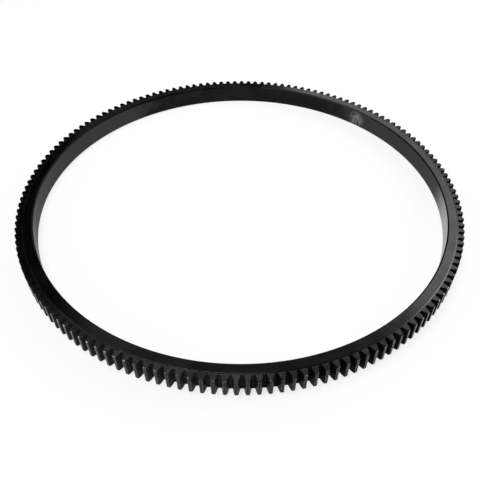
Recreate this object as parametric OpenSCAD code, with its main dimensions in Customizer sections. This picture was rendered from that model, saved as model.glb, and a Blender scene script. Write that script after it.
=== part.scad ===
// Flywheel ring gear.
// A slim turned steel rim with involute teeth cut all round the outside. It is
// heated and shrunk onto the edge of an engine flywheel, and the starter pinion
// drives it. The gear lies on its flat back face with its axis along +Z.

/* [Teeth] */
// Number of teeth round the rim
teeth = 156; // [100:1:180]
// Module in mm, the pitch diameter divided by the number of teeth
tooth_module = 3; // [2:0.25:4]
// Pressure angle of the involute flanks, in degrees
pressure_angle = 14.5; // [12:0.5:22]
// Height of the tips above the pitch circle, in modules
addendum = 1; // [0.8:0.05:1]
// Depth of the roots below the pitch circle, in modules
dedendum = 1.2; // [1.1:0.05:1.25]
// Radius in the root corners of each gap, in modules
root_rounding = 0.3; // [0.1:0.05:0.35]
// Play left at the pitch circle for the pinion, in mm
backlash = 0; // [0:0.05:0.4]

/* [Rim] */
// Solid wall between the bore and the tooth roots
rim_wall = 11; // [6:0.1:16]
// Width of the gear along its axis
face_width = 22; // [14:0.5:32]
// Bevel at both mouths of the bore
bore_bevel = 1.4; // [0.5:0.1:2]

/* [Tooth ends] */
// How far the front ends of the teeth sit below the front face of the rim
end_drop = 0.6; // [0.2:0.1:2]
// Radial width of the sloping shoulder between that face and the tooth ends
shoulder_w = 1; // [0.4:0.1:2]
// Flat left between the foot of the shoulder and the tooth roots
shoulder_land = 0.2; // [0.1:0.1:1]

/* [Hidden] */
$fn = 360;
flank_steps = 3;
rounding_steps = 2;
overcut = 0.5;

pitch_r = teeth * tooth_module / 2;
base_r = pitch_r * cos(pressure_angle);
tip_r = pitch_r + addendum * tooth_module;
root_r = pitch_r - dedendum * tooth_module;
bore_r = root_r - rim_wall;
foot_r = root_r - shoulder_land;
face_r = foot_r - shoulder_w;
tooth_step = 360 / teeth;

// Half the angle of a gap where it crosses the pitch circle
half_gap_pitch = tooth_step / 4 + backlash / pitch_r * 90 / PI;

// Corner arc that runs from the root of a gap into its flank
corner_r = root_rounding * tooth_module;
corner_lean = acos(base_r / root_r);
corner_top_r = root_r + corner_r * (1 - sin(corner_lean));
corner_centre = polar(corner_top_r, half_gap(corner_top_r))
    + corner_r * [sin(corner_lean), -cos(corner_lean)];

steel_colour = [0.14, 0.14, 0.15];

function polar(r, a) = [r * cos(a), r * sin(a)];

// Involute function of an angle, answered in degrees
function involute(a) = tan(a) * 180 / PI - a;

// Half the angle of a gap at radius r: the flanks open as the radius grows
function half_gap(r) = half_gap_pitch - involute(pressure_angle) + involute(acos(base_r / r));

function blend(a, b, t) = a + (b - a) * t;

// One side of a gap, from the middle of its root out past the tips
function gap_side() = concat(
    [
        for (i = [0:rounding_steps])
            corner_centre + corner_r * polar(1, blend(180, 90 + corner_lean, i / rounding_steps))
    ],
    [
        for (i = [1:flank_steps])
            let (r = blend(corner_top_r, tip_r + overcut, i / flank_steps))
            polar(r, half_gap(r))
    ]
);

module tooth_gap() {
    side = gap_side();
    last = len(side) - 1;
    other_side = [for (i = [last:-1:0]) [side[i].x, -side[i].y]];
    translate([0, 0, -overcut])
        linear_extrude(height = face_width + 2 * overcut)
            polygon(concat(side, other_side));
}

module turned_blank() {
    rotate_extrude()
        polygon([
            [bore_r + bore_bevel, 0],
            [tip_r, 0],
            [tip_r, face_width - end_drop],
            [foot_r, face_width - end_drop],
            [face_r, face_width],
            [bore_r + bore_bevel, face_width],
            [bore_r, face_width - bore_bevel],
            [bore_r, bore_bevel]
        ]);
}

module ring_gear() {
    color(steel_colour)
        difference() {
            turned_blank();
            for (i = [0:teeth - 1])
                rotate(i * tooth_step)
                    tooth_gap();
        }
}

ring_gear();
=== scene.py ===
import math

import bpy
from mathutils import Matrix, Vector


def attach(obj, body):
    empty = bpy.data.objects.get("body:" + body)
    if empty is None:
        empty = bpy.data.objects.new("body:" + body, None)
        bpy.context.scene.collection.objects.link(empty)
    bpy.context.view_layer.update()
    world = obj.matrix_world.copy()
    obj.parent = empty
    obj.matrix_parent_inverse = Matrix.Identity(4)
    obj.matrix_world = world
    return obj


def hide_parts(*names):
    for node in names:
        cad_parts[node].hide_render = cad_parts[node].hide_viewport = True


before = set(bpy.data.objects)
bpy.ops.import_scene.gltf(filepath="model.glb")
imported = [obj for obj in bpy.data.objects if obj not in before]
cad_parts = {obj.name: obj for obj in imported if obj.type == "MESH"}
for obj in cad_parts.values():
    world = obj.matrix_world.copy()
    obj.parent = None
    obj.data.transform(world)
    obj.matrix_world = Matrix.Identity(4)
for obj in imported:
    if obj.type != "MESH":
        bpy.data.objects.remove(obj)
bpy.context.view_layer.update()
print("frame loaded:", sorted(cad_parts))

mmPerMetre = 1000

# lengths of the gear in mm, as the part has them, and the small roundings that only show up close
gear = {
    "teeth": 156,
    "module": 3.0,
    "pressureAngle": 14.5,  # degrees
    "addendum": 1.0,        # modules
    "dedendum": 1.2,        # modules
    "rootRounding": 0.3,    # modules
    "backlash": 0.0,
    "rimWall": 11.0,
    "faceWidth": 22.0,
    "boreBevel": 1.4,
    "endDrop": 0.6,
    "shoulderWidth": 1.0,
    "shoulderLand": 0.2,
    "tipCorner": 0.8,       # radius where a flank meets the tip
    "tipEndEdge": 0.7,      # radius round the end of a tooth at its tip
    "rootEndEdge": 0.09,    # the same below the pitch circle
    "rimEdge": 0.22,        # radius on the turned edges of the rim
    "backLand": 1.0,        # flat between the roots and the first circle of the back
    "cornerSteps": 4,       # faces round a root corner
    "flankSteps": 5,        # faces up a flank
    "roundSteps": 3,        # faces round an edge
}


def polar(r, a):
    return (r * math.cos(a), r * math.sin(a))


def turn(p, a):
    return (p[0] * math.cos(a) - p[1] * math.sin(a), p[0] * math.sin(a) + p[1] * math.cos(a))


def involute(a):
    return math.tan(a) - a


def smoothStep(t):
    t = min(max(t, 0.0), 1.0)
    return t * t * (3 - 2 * t)


# points round a corner, from one side of it to the other, flagged where they lie on the bend itself
def filletPoints(before, corner, after, radius, steps):
    corner = Vector(corner)
    toBefore = (Vector(before) - corner).normalized()
    toAfter = (Vector(after) - corner).normalized()
    half = toBefore.angle(toAfter) / 2
    reach = radius / math.tan(half)
    middle = corner + (toBefore + toAfter).normalized() * radius / math.sin(half)
    start = corner + toBefore * reach - middle
    end = corner + toAfter * reach - middle
    sweep = start.angle(end)
    points = []
    for i in range(steps + 1):
        t = i / steps
        p = (start * math.sin((1 - t) * sweep) + end * math.sin(t * sweep)) / math.sin(sweep)
        points.append((middle + p, 1.0 if 0 < i < steps else 0.0))
    return points


def gearCircles(v):
    pitchR = v["teeth"] * v["module"] / 2
    rootR = pitchR - v["dedendum"] * v["module"]
    return {
        "pitch": pitchR,
        "base": pitchR * math.cos(math.radians(v["pressureAngle"])),
        "tip": pitchR + v["addendum"] * v["module"],
        "root": rootR,
        "bore": rootR - v["rimWall"],
    }


# half a tooth, from the middle of a gap at angle 0 to the middle of the tip: (x, y, edge flag, is flank)
def halfTooth(v, circles):
    pitchR, baseR, tipR, rootR = (circles[name] for name in ("pitch", "base", "tip", "root"))
    halfStep = math.pi / v["teeth"]
    gapAtPitch = halfStep / 2 + v["backlash"] / pitchR / 2

    def halfGap(r):
        return gapAtPitch - involute(math.radians(v["pressureAngle"])) + involute(math.acos(baseR / r))

    cornerR = v["rootRounding"] * v["module"]
    cornerLean = math.acos(baseR / rootR)
    cornerTopR = rootR + cornerR * (1 - math.sin(cornerLean))
    cx, cy = polar(cornerTopR, halfGap(cornerTopR))
    cx += cornerR * math.sin(cornerLean)
    cy -= cornerR * math.cos(cornerLean)
    points = [(cx - cornerR, 0.0, 0.0, True)]
    for i in range(v["cornerSteps"] + 1):
        a = math.pi + (cornerLean - math.pi / 2) * i / v["cornerSteps"]
        points.append((cx + cornerR * math.cos(a), cy + cornerR * math.sin(a), 0.0, True))

    nearby = 0.5    # a short way from the tip corner, to find how its two sides run
    corner = polar(tipR, halfGap(tipR))
    below = polar(tipR - nearby, halfGap(tipR - nearby))
    beside = polar(tipR, halfGap(tipR) + nearby / tipR)
    bend = filletPoints(below, corner, beside, v["tipCorner"], v["roundSteps"])
    bendR = bend[0][0].length
    for i in range(1, v["flankSteps"]):
        r = cornerTopR + (bendR - cornerTopR) * i / v["flankSteps"]
        points.append((*polar(r, halfGap(r)), 0.0, True))
    for i, (p, edge) in enumerate(bend):
        points.append((p.x, p.y, edge, i < len(bend) - 1))
    points.append((*polar(tipR, halfStep), 0.0, False))
    return points


# one whole tooth as columns, each with the way into the metal and its end rounding, and the column of the tip
def toothColumns(v, circles):
    side = halfTooth(v, circles)
    step = 2 * math.pi / v["teeth"]
    tipR, pitchR, rootR = circles["tip"], circles["pitch"], circles["root"]
    outline = [(Vector(p[:2]), p[2], p[3]) for p in side]
    for p in reversed(side[1:-1]):
        outline.append((Vector(turn((p[0], -p[1]), step)), p[2], p[3]))
    count = len(outline)
    columns = []
    for i, (p, edge, flank) in enumerate(outline):
        nextP = outline[(i + 1) % count][0]
        lastP = outline[i - 1][0]
        if i == 0:    # mirror across the middle of the gap
            lastP = Vector((nextP.x, -nextP.y))
        if i == count - 1:    # the next column is the middle of the next gap
            nextP = Vector(polar(outline[0][0].length, step))
        along = ((p - lastP).normalized() + (nextP - p).normalized()).normalized()
        share = smoothStep((p.length - rootR) / (tipR - rootR))
        endShare = smoothStep((p.length - pitchR) / (tipR - pitchR))
        columns.append({
            "place": p,
            "inward": Vector((-along.y, along.x)),
            "rounding": v["rootEndEdge"] + (v["tipEndEdge"] - v["rootEndEdge"]) * endShare,
            "edge": edge,
            "flank": flank,
            "depth": 1 - share,
        })
    return columns, len(side) - 1


# section of the rim from the foot of the shoulder round through the bore to the back: (r, z, edge flag)
def rimSection(v, circles):
    footR = circles["root"] - v["shoulderLand"]
    boreR = circles["bore"]
    top, bevel = v["faceWidth"], v["boreBevel"]
    corners = [
        (footR, top - v["endDrop"]),
        (footR - v["shoulderWidth"], top),
        (boreR + bevel, top),
        (boreR, top - bevel),
        (boreR, bevel),
        (boreR + bevel, 0.0),
        (circles["root"] - v["backLand"], 0.0),
    ]
    section = [(*corners[0], 0.0)]
    for before, corner, after in zip(corners, corners[1:], corners[2:]):
        for p, edge in filletPoints(before, corner, after, v["rimEdge"], v["roundSteps"]):
            section.append((p.x, p.y, edge))
    section.append((*corners[-1], 0.0))
    return section


# oxide on the flat faces, tooth ends, shoulder, tips, hobbed gaps, bore and bore bevels
# edgeTint is the gloss at a glancing view, mark and feed are tool marks in metres, rub bares rounded edges
# side is painted light or shade on one part of the ring, a lighter or darker colour standing in for how light
# falls there: middle, full and gone are degrees round its axis
finishValues = {
    "turned": {
        "dark": (0.040, 0.040, 0.042), "pale": (0.054, 0.053, 0.053), "bare": (0.13, 0.126, 0.122),
        "edgeTint": 1.0, "roughLow": 0.13, "roughHigh": 0.21,
        "markPitch": 0.0007, "markDepth": 0.00002, "rub": 0.25,
    },
    "ends": {
        "dark": (0.048, 0.048, 0.050), "pale": (0.066, 0.065, 0.064), "bare": (0.13, 0.126, 0.122),
        "edgeTint": 0.15, "roughLow": 0.25, "roughHigh": 0.33,
        "markPitch": 0.0007, "markDepth": 0.00002, "rub": 0.25,
        # painted shade: the tooth ends darker towards the left of the ring
        "side": {"colour": (0.018, 0.018, 0.0185), "middle": 150.0, "full": 60.0, "gone": 84.26},
    },
    "shoulder": {
        "dark": (0.023, 0.023, 0.024), "pale": (0.031, 0.0305, 0.030), "bare": (0.13, 0.126, 0.122),
        "edgeTint": 0.2, "roughLow": 0.25, "roughHigh": 0.33,
        "markPitch": 0.0007, "markDepth": 0.00002, "rub": 0.25,
        # painted highlight: the shoulder lighter towards the near right
        "side": {"colour": (0.076, 0.075, 0.074), "middle": 335.0, "full": 36.87, "gone": 60.0},
    },
    "tip": {
        "dark": (0.010, 0.010, 0.0105), "pale": (0.015, 0.015, 0.015), "bare": (0.42, 0.415, 0.41),
        "edgeTint": 0.9, "roughLow": 0.18, "roughHigh": 0.28,
        "markPitch": 0.0007, "markDepth": 0.00002, "rub": 0.9,
    },
    "cut": {    # dull, with painted shade that darkens the gaps towards their roots
        "dark": (0.004, 0.004, 0.0042), "pale": (0.007, 0.007, 0.007), "bare": (0.07, 0.068, 0.066),
        "edgeTint": 1.0, "roughLow": 0.22, "roughHigh": 0.34, "metal": 0.0, "gloss": 0.008,
        "feedPitch": 0.0016, "feedDepth": 0.00003, "grain": 1500.0, "rub": 0.2,
        # scale is painted shade, the colour the gaps darken to towards their roots
        "scale": (0.003, 0.003, 0.0031), "scaleFrom": 0.55,
        # painted light: the gaps lighter towards the near left
        "side": {"colour": (0.032, 0.032, 0.0316), "middle": 245.0, "full": 11.48, "gone": 34.92},
    },
    "bore": {
        "dark": (0.010, 0.010, 0.0105), "pale": (0.016, 0.016, 0.016), "bare": (0.07, 0.068, 0.066),
        "edgeTint": 0.7, "roughLow": 0.3, "roughHigh": 0.42,
        "markPitch": 0.0009, "markDepth": 0.00003, "rub": 0.15,
        # painted reflection, the bore paler at its left and right sides; from and full: cosine of the angle
        # to the X axis
        "paintedPaleSides": {"colour": (0.040, 0.040, 0.0395), "from": 0.54, "full": 0.76, "uneven": 0.1},
        "scuff": {"colour": (0.24, 0.236, 0.23), "at": (0.1472, 0.1627, 0.0105),
                  "core": 0.001, "reach": 0.014, "grain": 420.0, "stretch": (1.0, 1.0, 0.4),
                  "grainLow": 0.28, "grainHigh": 0.68},
        # painted reflection: the bore bright towards the near right
        "side": {"colour": (0.46, 0.455, 0.447), "middle": 335.0, "full": 11.48, "gone": 30.68},
    },
    "bevel": {
        "dark": (0.009, 0.009, 0.0095), "pale": (0.014, 0.014, 0.014), "bare": (0.03, 0.029, 0.028),
        "edgeTint": 0.4, "roughLow": 0.3, "roughHigh": 0.4,
        "markPitch": 0.0009, "markDepth": 0.00002, "rub": 0.05,
        # painted light: the bevel lighter towards the far right
        "side": {"colour": (0.035, 0.035, 0.0345), "middle": 25.0, "full": 25.84, "gone": 43.95},
    },
}
finishOrder = list(finishValues)


def newShape():
    return {"verts": [], "edges": [], "depths": [], "faces": [], "finishes": []}


def addVert(shape, xy, z, edge, depth=0.0):
    shape["verts"].append((xy[0] / mmPerMetre, xy[1] / mmPerMetre, z / mmPerMetre))
    shape["edges"].append(edge)
    shape["depths"].append(depth)
    return len(shape["verts"]) - 1


def addFace(shape, corners, finish):
    shape["faces"].append(corners)
    shape["finishes"].append(finishOrder.index(finish))


# rows of the tooth wall from front to back: (share of inset, share of drop, edge flag, at the front)
def wallRows(v):
    rows = []
    for j in range(v["roundSteps"], -1, -1):
        t = math.pi / 2 * j / v["roundSteps"]
        rows.append((1 - math.cos(t), 1 - math.sin(t), 1.0 if 0 < j < v["roundSteps"] else 0.0))
    return [(*row, True) for row in rows] + [(*row, False) for row in reversed(rows)]


def addToothWall(shape, columns, v):
    step = 2 * math.pi / v["teeth"]
    endZ = v["faceWidth"] - v["endDrop"]
    wall = []
    for inset, drop, rowEdge, atFront in wallRows(v):
        wallRow = []
        for k in range(v["teeth"]):
            for c in columns:
                place = c["place"] + c["inward"] * c["rounding"] * inset
                z = endZ - c["rounding"] * drop if atFront else c["rounding"] * drop
                wallRow.append(addVert(shape, turn(place, k * step), z, max(rowEdge, c["edge"]), c["depth"]))
        wall.append(wallRow)
    count, around = len(columns), len(wall[0])
    for upper, lower in zip(wall, wall[1:]):
        for i in range(around):
            n = (i + 1) % around
            cut = columns[i % count]["flank"] and columns[n % count]["flank"]
            addFace(shape, (upper[i], lower[i], lower[n], upper[n]), "cut" if cut else "tip")
    return wall


# the rim takes four columns for each tooth: gap, first corner, tooth, last corner
def addRim(shape, columns, circles, v):
    step = 2 * math.pi / v["teeth"]
    section = rimSection(v, circles)
    firstCorner = math.atan2(columns[1]["place"].y, columns[1]["place"].x)
    spots = [0.0, firstCorner, step / 2, step - firstCorner]
    rim = []
    for r, z, edge in section:
        angles = [k * step + a for k in range(v["teeth"]) for a in spots]
        rim.append([addVert(shape, polar(r, a), z, edge) for a in angles])
    around = len(rim[0])
    edgeReach = v["rimEdge"] / 2    # a rounded edge goes with the surface inside it
    for j in range(len(rim) - 1):
        middle = (section[j][0] + section[j + 1][0]) / 2
        if j == 0:
            finish = "shoulder"
        elif middle < circles["bore"] + edgeReach:
            finish = "bore"
        elif middle < circles["bore"] + v["boreBevel"] + edgeReach:
            finish = "bevel"
        else:
            finish = "turned"
        for i in range(around):
            n = (i + 1) % around
            addFace(shape, (rim[j][i], rim[j][n], rim[j + 1][n], rim[j + 1][i]), finish)
    return rim


# tooth ends: a strip from the rim, then rungs across each tooth out to the tip
def addToothEnds(shape, outline, circle, tipAt, z, atFront, v):
    count, spotCount = len(outline) // v["teeth"], len(circle) // v["teeth"]
    for k in range(v["teeth"]):
        at = k * count
        left = [outline[at + i] for i in range(tipAt + 1)]
        right = [outline[(at + count - i) % len(outline)] for i in range(tipAt + 1)]
        middles = [None]
        for i in range(1, tipAt):
            a, b = shape["verts"][left[i]], shape["verts"][right[i]]
            between = [(a[axis] + b[axis]) / 2 * mmPerMetre for axis in range(2)]
            middles.append(addVert(shape, between, z, 0.0))
        middles.append(left[tipAt])
        spots = [circle[(k * spotCount + i) % len(circle)] for i in range(spotCount + 1)]
        made = [
            (spots[0], spots[1], left[1], left[0]),
            (spots[1], spots[2], middles[1], left[1]),
            (spots[2], spots[3], right[1], middles[1]),
            (spots[3], spots[4], right[0], right[1]),
        ]
        last = tipAt - 1
        for i in range(1, last):
            made.append((left[i], middles[i], middles[i + 1], left[i + 1]))
            made.append((middles[i], right[i], right[i + 1], middles[i + 1]))
        made.append((left[last], middles[last], middles[tipAt]))
        made.append((middles[last], right[last], middles[tipAt]))
        for corners in made:
            addFace(shape, corners[::-1] if atFront else corners, "ends")


def buildToothedRing(v):
    circles = gearCircles(v)
    columns, tipAt = toothColumns(v, circles)
    shape = newShape()
    wall = addToothWall(shape, columns, v)
    rim = addRim(shape, columns, circles, v)
    addToothEnds(shape, wall[0], rim[0], tipAt, v["faceWidth"] - v["endDrop"], True, v)
    addToothEnds(shape, wall[-1], rim[-1], tipAt, 0.0, False, v)

    mesh = bpy.data.meshes.new("toothed_ring")
    mesh.from_pydata(shape["verts"], [], shape["faces"])
    mesh.validate()
    for attributeName, values in (("edgeBand", shape["edges"]), ("gapDepth", shape["depths"])):
        mesh.attributes.new(attributeName, "FLOAT", "POINT").data.foreach_set("value", values)
    mesh.polygons.foreach_set("use_smooth", [True] * len(shape["faces"]))
    mesh.polygons.foreach_set("material_index", shape["finishes"])
    mesh.update()
    ring = bpy.data.objects.new("toothed_ring", mesh)
    bpy.context.scene.collection.objects.link(ring)
    weights = ring.modifiers.new("flatFaces", "WEIGHTED_NORMAL")    # flat faces stay flat beside the edges
    weights.mode = "FACE_AREA"
    weights.weight = 80
    return ring


def newGroup(name, inputs, outputs):
    group = bpy.data.node_groups.new(name, "ShaderNodeTree")
    for socketName, kind, value in inputs:
        socket = group.interface.new_socket(socketName, in_out="INPUT", socket_type=kind)
        if value is not None:
            socket.default_value = value
    for socketName, kind in outputs:
        group.interface.new_socket(socketName, in_out="OUTPUT", socket_type=kind)
    return group, group.nodes.new("NodeGroupInput"), group.nodes.new("NodeGroupOutput")


def placeGroup(tree, group, values):
    node = tree.nodes.new("ShaderNodeGroup")
    node.node_tree = group
    for socketName, value in values.items():
        node.inputs[socketName].default_value = value
    return node


# a plain number sets the socket, anything else is linked to it
def fillSocket(tree, value, socket):
    if isinstance(value, (int, float)):
        socket.default_value = value
    else:
        tree.links.new(value, socket)


def addMath(tree, operation, a, b=None, clamp=False):
    node = tree.nodes.new("ShaderNodeMath")
    node.operation = operation
    node.use_clamp = clamp
    fillSocket(tree, a, node.inputs[0])
    if b is not None:
        fillSocket(tree, b, node.inputs[1])
    return node.outputs[0]


def addVectorMath(tree, operation, a, b=None):
    node = tree.nodes.new("ShaderNodeVectorMath")
    node.operation = operation
    tree.links.new(a, node.inputs[0])
    if isinstance(b, tuple):
        node.inputs[1].default_value = b
    elif b is not None:
        tree.links.new(b, node.inputs[1])
    return node


def addNoise(tree, vector, scale, detail, roughness=0.5, w=None):
    node = tree.nodes.new("ShaderNodeTexNoise")
    node.noise_dimensions = "4D" if w is not None else "3D"
    node.inputs["Detail"].default_value = detail
    node.inputs["Roughness"].default_value = roughness
    tree.links.new(vector, node.inputs["Vector"])
    fillSocket(tree, scale, node.inputs["Scale"])
    if w is not None:
        tree.links.new(w, node.inputs["W"])
    return node.outputs["Fac"]


def addRange(tree, value, low, high, toLow=0.0, toHigh=1.0, smooth=True):
    node = tree.nodes.new("ShaderNodeMapRange")
    node.interpolation_type = "SMOOTHSTEP" if smooth else "LINEAR"
    for socketName, number in (("From Min", low), ("From Max", high), ("To Min", toLow), ("To Max", toHigh)):
        fillSocket(tree, number, node.inputs[socketName])
    tree.links.new(value, node.inputs["Value"])
    return node.outputs["Result"]


def addColourMix(tree, share, a, b):
    node = tree.nodes.new("ShaderNodeMix")
    node.data_type = "RGBA"
    tree.links.new(share, node.inputs["Factor"])
    for socketName, value in (("A", a), ("B", b)):
        socket = [s for s in node.inputs if s.name == socketName and s.type == "RGBA"][0]
        if isinstance(value, tuple):
            socket.default_value = (*value, 1.0)
        else:
            tree.links.new(value, socket)
    return [s for s in node.outputs if s.type == "RGBA"][0]


def addPlace(tree):
    return tree.nodes.new("ShaderNodeTexCoord").outputs["Object"]


def addSplit(tree, vector):
    node = tree.nodes.new("ShaderNodeSeparateXYZ")
    tree.links.new(vector, node.inputs[0])
    return node.outputs


# rings left by the lathe: they follow the radius on the flat faces and the height on the walls
def makeTurningMarks():
    group, inputs, outputs = newGroup(
        "turningMarks",
        [("Pitch", "NodeSocketFloat", 0.0008), ("Wander", "NodeSocketFloat", 2.0)],
        [("Height", "NodeSocketFloat"), ("Streak", "NodeSocketFloat")],
    )
    pitch, wander = inputs.outputs["Pitch"], inputs.outputs["Wander"]
    split = addSplit(group, addPlace(group))
    squares = [addMath(group, "POWER", split[axis], 2.0) for axis in ("X", "Y")]
    radius = addMath(group, "SQRT", addMath(group, "ADD", *squares))
    join = group.nodes.new("ShaderNodeCombineXYZ")
    for axis in ("X", "Y"):
        unit = addMath(group, "DIVIDE", split[axis], radius)
        group.links.new(addMath(group, "MULTIPLY", unit, wander), join.inputs[axis])
    group.links.new(addMath(group, "DIVIDE", radius, pitch), join.inputs["Z"])
    fine = addNoise(group, join.outputs[0], 1.0, 3.0, 0.6, addMath(group, "DIVIDE", split["Z"], pitch))
    group.links.new(fine, outputs.inputs["Height"])
    group.links.new(addRange(group, fine, 0.35, 0.65), outputs.inputs["Streak"])
    return group


# soft clouds in the black oxide
def makeOxideClouds():
    group, inputs, outputs = newGroup(
        "oxideClouds",
        [("Scale", "NodeSocketFloat", 60.0)],
        [("Cloud", "NodeSocketFloat")],
    )
    cloud = addNoise(group, addPlace(group), inputs.outputs["Scale"], 4.0, 0.55)
    group.links.new(addRange(group, cloud, 0.3, 0.7), outputs.inputs["Cloud"])
    return group


# oxide rubbed thin along the rounded edges
def makeEdgeRub():
    group, inputs, outputs = newGroup(
        "edgeRub",
        [("Break Up", "NodeSocketFloat", 350.0), ("Amount", "NodeSocketFloat", 0.5)],
        [("Mask", "NodeSocketFloat")],
    )
    band = group.nodes.new("ShaderNodeAttribute")
    band.attribute_name = "edgeBand"
    broken = addRange(group, addNoise(group, addPlace(group), inputs.outputs["Break Up"], 3.0), 0.4, 0.65)
    rubbed = addMath(group, "MULTIPLY", band.outputs["Fac"], broken)
    rubbed = addMath(group, "MULTIPLY", rubbed, inputs.outputs["Amount"], True)
    group.links.new(rubbed, outputs.inputs["Mask"])
    return group


# the part of the ring that lies towards one side, the mask for painted light or shade on that side
def makePaintedSideMask():
    group, inputs, outputs = newGroup(
        "paintedSideLight",
        [("Towards", "NodeSocketVector", None), ("From", "NodeSocketFloat", 0.8),
         ("Full", "NodeSocketFloat", 1.0)],
        [("Mask", "NodeSocketFloat")],
    )
    outward = addVectorMath(group, "NORMALIZE", addPlace(group))
    facing = addVectorMath(group, "DOT_PRODUCT", outward.outputs[0], inputs.outputs["Towards"])
    share = addRange(group, facing.outputs["Value"], inputs.outputs["From"], inputs.outputs["Full"])
    group.links.new(share, outputs.inputs["Mask"])
    return group


oxide = {
    "cloudScale": 45.0,
    "rubBreakUp": 300.0,
    "markWander": 2.5,
    "markStrength": 0.5,
    "cloudShare": 0.6,      # of the changes in roughness: the rest follows the tool marks
}


# painted reflection: the bore paler towards both ends of the X axis, its left and right sides
def addPaintedPaleSides(tree, v, cloud, colour):
    outward = addVectorMath(tree, "NORMALIZE", addPlace(tree))
    towards = addMath(tree, "ABSOLUTE", addSplit(tree, outward.outputs[0])["X"])
    towards = addMath(tree, "ADD", towards, addMath(tree, "MULTIPLY", cloud, v["uneven"]))
    return addColourMix(tree, addRange(tree, towards, v["from"], v["full"]), colour, v["colour"])


# a scraped spot with upright streaks
def addScuff(tree, v, colour):
    place = addPlace(tree)
    apart = addVectorMath(tree, "DISTANCE", place, v["at"])
    near = addRange(tree, apart.outputs["Value"], v["core"], v["reach"], 1.0, 0.0)
    upright = addVectorMath(tree, "MULTIPLY", place, v["stretch"])
    grain = addNoise(tree, upright.outputs[0], v["grain"], 3.0, 0.6)
    scraped = addRange(tree, grain, v["grainLow"], v["grainHigh"])
    return addColourMix(tree, addMath(tree, "MULTIPLY", near, scraped), colour, v["colour"])


def addPaintedSide(tree, v, group, colour):
    side = placeGroup(tree, group, {
        "Towards": (*polar(1.0, math.radians(v["middle"])), 0.0),
        "From": math.cos(math.radians(v["gone"])),
        "Full": math.cos(math.radians(v["full"])),
    })
    return addColourMix(tree, side.outputs["Mask"], colour, v["colour"])


def makeBlackSteel(name, v, groups):
    material = bpy.data.materials.new(name)
    material.use_nodes = True
    tree = material.node_tree
    steel = tree.nodes["Principled BSDF"]
    steel.inputs["Metallic"].default_value = v.get("metal", 1.0)
    steel.inputs["Specular IOR Level"].default_value = v.get("gloss", 0.5)
    steel.inputs["Specular Tint"].default_value = (v["edgeTint"],) * 3 + (1.0,)
    cloud = placeGroup(tree, groups["clouds"], {"Scale": oxide["cloudScale"]}).outputs["Cloud"]
    rub = placeGroup(tree, groups["rub"], {"Break Up": oxide["rubBreakUp"], "Amount": v["rub"]})
    colour = addColourMix(tree, cloud, v["dark"], v["pale"])
    colour = addColourMix(tree, rub.outputs["Mask"], colour, v["bare"])
    bump = tree.nodes.new("ShaderNodeBump")
    bump.inputs["Strength"].default_value = oxide["markStrength"]
    if "markPitch" in v:
        marks = placeGroup(tree, groups["marks"], {"Pitch": v["markPitch"], "Wander": oxide["markWander"]})
        streak, height = marks.outputs["Streak"], marks.outputs["Height"]
        bump.inputs["Distance"].default_value = v["markDepth"]
    else:    # the hob leaves scallops along each flank
        place = addPlace(tree)
        turns = addMath(tree, "MULTIPLY", addSplit(tree, place)["Z"], 2 * math.pi / v["feedPitch"])
        height = addMath(tree, "ABSOLUTE", addMath(tree, "SINE", turns))
        streak = addNoise(tree, place, v["grain"], 2.0)
        bump.inputs["Distance"].default_value = v["feedDepth"]
    # painted shade: the gaps darker towards their roots
    if "scale" in v:
        deep = tree.nodes.new("ShaderNodeAttribute")
        deep.attribute_name = "gapDepth"
        thick = addRange(tree, deep.outputs["Fac"], v["scaleFrom"], 1.0)
        colour = addColourMix(tree, thick, colour, v["scale"])
    # painted reflection: the bore paler at its left and right sides
    if "paintedPaleSides" in v:
        colour = addPaintedPaleSides(tree, v["paintedPaleSides"], cloud, colour)
    if "scuff" in v:
        colour = addScuff(tree, v["scuff"], colour)
    # painted light or shade on one side of the ring
    if "side" in v:
        colour = addPaintedSide(tree, v["side"], groups["side"], colour)
    patchy = addMath(tree, "ADD", addMath(tree, "MULTIPLY", cloud, oxide["cloudShare"]),
                     addMath(tree, "MULTIPLY", streak, 1 - oxide["cloudShare"]))
    rough = addRange(tree, patchy, 0.0, 1.0, v["roughLow"], v["roughHigh"], False)
    tree.links.new(rough, steel.inputs["Roughness"])
    tree.links.new(colour, steel.inputs["Base Color"])
    tree.links.new(height, bump.inputs["Height"])
    tree.links.new(bump.outputs["Normal"], steel.inputs["Normal"])
    return material


ring = buildToothedRing(gear)
groups = {
    "marks": makeTurningMarks(),
    "clouds": makeOxideClouds(),
    "rub": makeEdgeRub(),
    "side": makePaintedSideMask(),
}
for finishName in finishOrder:
    ring.data.materials.append(makeBlackSteel(finishName + "_black", finishValues[finishName], groups))
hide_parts("ring_gear")
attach(ring, "root")
print("ring built:", len(ring.data.polygons), "faces")

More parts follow.
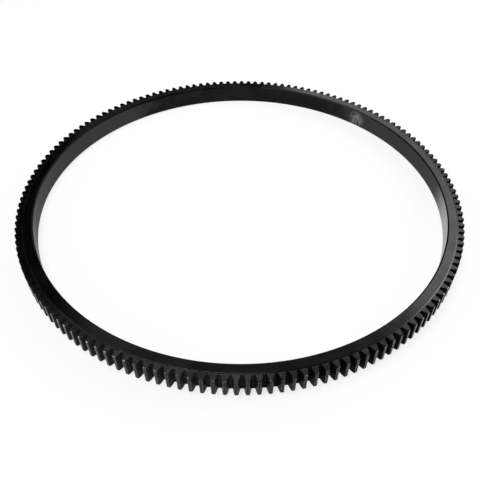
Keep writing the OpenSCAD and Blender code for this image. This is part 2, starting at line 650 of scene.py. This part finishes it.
# lengths in metres, lamp power in watts
studio = {
    "floorSize": 14.0,
    "floorDrop": 0.0002,    # keeps the floor clear of the gear's back
    "floorColour": (0.95, 0.95, 0.95),
    "shareWhite": 0.76,     # share of plain white that the camera and mirrors see on the floor round the gear
    "whiteFrom": 0.5,       # distance at which the floor starts to fade into the white backdrop
    "whiteTo": 1.8,         # distance from which it is all white
    "worldLow": 1.0,        # white cove
    "worldHigh": 0.012,     # dark room above it
    "lowEdge": 0.24,        # sine of the height at which the cove starts to fade
    "highEdge": 0.38,
    "lamps": {
        "window": {"at": (1.24, 1.015, 1.2), "aim": (0.014, -0.013, 1.2), "size": (3.2, 1.8), "power": 24.5},
        "softbox": {"at": (0.58, 0.93, 1.02), "aim": (0.0, 0.0, 0.0), "size": (0.7, 0.4), "power": 0.8},
        "sideBox": {"at": (1.33, 0.33, 0.61), "aim": (0.0, 0.0, 0.0), "size": (0.8, 0.6), "power": 4.0},
        "leftBox": {"at": (-1.44, -0.76, 0.74), "aim": (0.0, 0.0, 0.0), "size": (1.1, 0.8), "power": 8.0},
        "leftCard": {"at": (-0.361, 0.85, 1.182), "aim": (0.0, 0.0, 0.0), "size": (0.5, 0.34), "power": 0.18},
        "farCard": {"at": (-0.31, 1.262, 0.78), "aim": (0.0, 0.0, 0.0), "size": (0.6, 0.3), "power": 0.1},
        "nearCard": {"at": (0.0, 0.6, 1.22), "aim": (0.0, -0.2, 0.0), "size": (1.1, 0.25), "power": 0.15},
        "overhead": {"at": (-0.4, -0.1, 2.15), "aim": (0.0, 0.0, 0.0), "size": (1.0, 1.0), "power": 34.0},
    },
}


def addLamp(name, v):
    lamp = bpy.data.lights.new(name, "AREA")
    lamp.shape = "RECTANGLE"
    lamp.size, lamp.size_y = v["size"]
    lamp.energy = v["power"]
    holder = bpy.data.objects.new(name, lamp)
    holder.location = v["at"]
    holder.rotation_euler = (Vector(v["aim"]) - Vector(v["at"])).to_track_quat("-Z", "Y").to_euler()
    bpy.context.scene.collection.objects.link(holder)


# lit paper that keeps the gear's shadow, mixed with plain white where it is seen straight or in a mirror
def makePaper(v):
    material = bpy.data.materials.new("studio_paper")
    material.use_nodes = True
    tree = material.node_tree
    paper = tree.nodes["Principled BSDF"]
    paper.inputs["Base Color"].default_value = (*v["floorColour"], 1.0)
    paper.inputs["Roughness"].default_value = 1.0
    paper.inputs["Specular IOR Level"].default_value = 0.0
    glow = tree.nodes.new("ShaderNodeEmission")
    path = tree.nodes.new("ShaderNodeLightPath")
    seen = addMath(tree, "MAXIMUM", path.outputs["Is Camera Ray"], path.outputs["Is Glossy Ray"])
    seen = addMath(tree, "MAXIMUM", seen, path.outputs["Is Transmission Ray"])
    away = addVectorMath(tree, "LENGTH", addPlace(tree))
    share = addRange(tree, away.outputs["Value"], v["whiteFrom"], v["whiteTo"], v["shareWhite"], 1.0)
    mix = tree.nodes.new("ShaderNodeMixShader")
    tree.links.new(addMath(tree, "MULTIPLY", seen, share), mix.inputs[0])
    tree.links.new(paper.outputs[0], mix.inputs[1])
    tree.links.new(glow.outputs[0], mix.inputs[2])
    tree.links.new(mix.outputs[0], tree.nodes["Material Output"].inputs["Surface"])
    return material


def makeFloor(v):
    half = v["floorSize"] / 2
    mesh = bpy.data.meshes.new("studio_floor")
    corners = [(-half, -half, 0), (half, -half, 0), (half, half, 0), (-half, half, 0)]
    mesh.from_pydata(corners, [], [(0, 1, 2, 3)])
    mesh.materials.append(makePaper(v))
    floor = bpy.data.objects.new("studio_floor", mesh)
    floor.location.z = -v["floorDrop"]
    bpy.context.scene.collection.objects.link(floor)


def makeWorld(v):
    world = bpy.data.worlds.new("studio_world")
    bpy.context.scene.world = world
    world.use_nodes = True
    tree = world.node_tree
    sky = tree.nodes["Background"]
    upward = addSplit(tree, tree.nodes.new("ShaderNodeTexCoord").outputs["Generated"])["Z"]
    level = addRange(tree, upward, v["lowEdge"], v["highEdge"], v["worldLow"], v["worldHigh"])
    join = tree.nodes.new("ShaderNodeCombineColor")
    for socket in join.inputs[:3]:
        tree.links.new(level, socket)
    tree.links.new(join.outputs[0], sky.inputs["Color"])
    sky.inputs["Strength"].default_value = 1.0


makeFloor(studio)
makeWorld(studio)
for lampName, lampValues in studio["lamps"].items():
    addLamp(lampName, lampValues)
print("studio lit")

viewpoint = {
    "at": (0.00429, -0.46749, 0.41096),     # metres
    "turn": (43.2602, -1.8985, -1.5937),    # degrees
    "lens": 41.388,                         # mm
    "sensor": 36.0,                         # mm
    "shift": (-0.06573, 0.03859),
    "nearest": 0.01,                        # metres
}


def addCamera(v):
    camera = bpy.data.cameras.new("camera")
    camera.sensor_width = v["sensor"]
    camera.lens = v["lens"]
    camera.shift_x, camera.shift_y = v["shift"]
    camera.clip_start = v["nearest"]
    holder = bpy.data.objects.new("camera", camera)
    holder.location = v["at"]
    holder.rotation_euler = [math.radians(a) for a in v["turn"]]
    bpy.context.scene.collection.objects.link(holder)
    return holder


bpy.context.scene.camera = addCamera(viewpoint)
bpy.context.scene.view_settings.view_transform = "Standard"
print("camera set")

bpy.context.view_layer.update()
